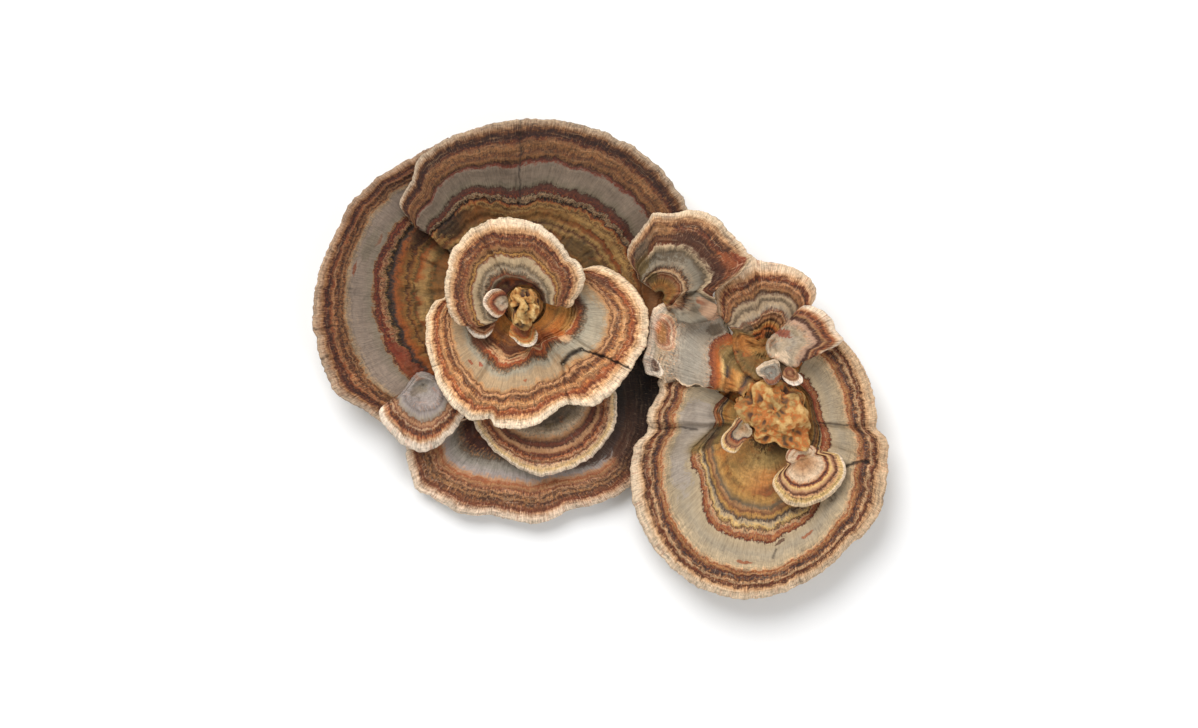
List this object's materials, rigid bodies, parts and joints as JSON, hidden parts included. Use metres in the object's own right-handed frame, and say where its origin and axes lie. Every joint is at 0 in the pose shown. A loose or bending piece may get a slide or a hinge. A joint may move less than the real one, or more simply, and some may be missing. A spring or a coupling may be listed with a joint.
{
  "type": "turkey tail mushroom cluster",
  "caption": "Cluster of thin fan-shaped bracket caps in overlapping tiers around two short stems, cut flat below, with concentric colour zones, wavy pale margins and small curled inner caps.",
  "frame": {"origin": "centre of the overall bounding box in plan, at the height of the cut face that rests on the ground", "axes": "+X to the right and +Y to the top of the cluster as seen from above, +Z away from the cut face"},
  "size_m": [0.1498, 0.1247, 0.0324],
  "materials": {
    "zoned_skin": "velvety, matt, zoned grey, rust, brown and cream",
    "young_skin": "velvety, matt, mostly cream and tan",
    "warty_flesh": "rough, matt, ochre"
  },
  "bodies": {
    "root": {"left_stem_knob": "warty_flesh", "right_stem_core": "warty_flesh", "bottom_bracket": "zoned_skin", "left_bracket": "zoned_skin", "back_bracket": "zoned_skin", "large_right_bracket": "zoned_skin", "lower_left_bracket": "zoned_skin", "crescent_bracket": "zoned_skin", "rosette_lower_bracket": "zoned_skin", "rosette_upper_bracket": "zoned_skin", "saddle_bracket": "zoned_skin", "shoulder_bracket": "zoned_skin", "junction_bracket": "zoned_skin", "notch_bracket": "zoned_skin", "tucked_cap": "young_skin", "curled_cap": "young_skin", "knob_cap": "young_skin", "fold_cap": "young_skin", "tiny_cap": "young_skin", "double_cap": "young_skin", "side_cap": "young_skin"}
  },
  "joints": []
}
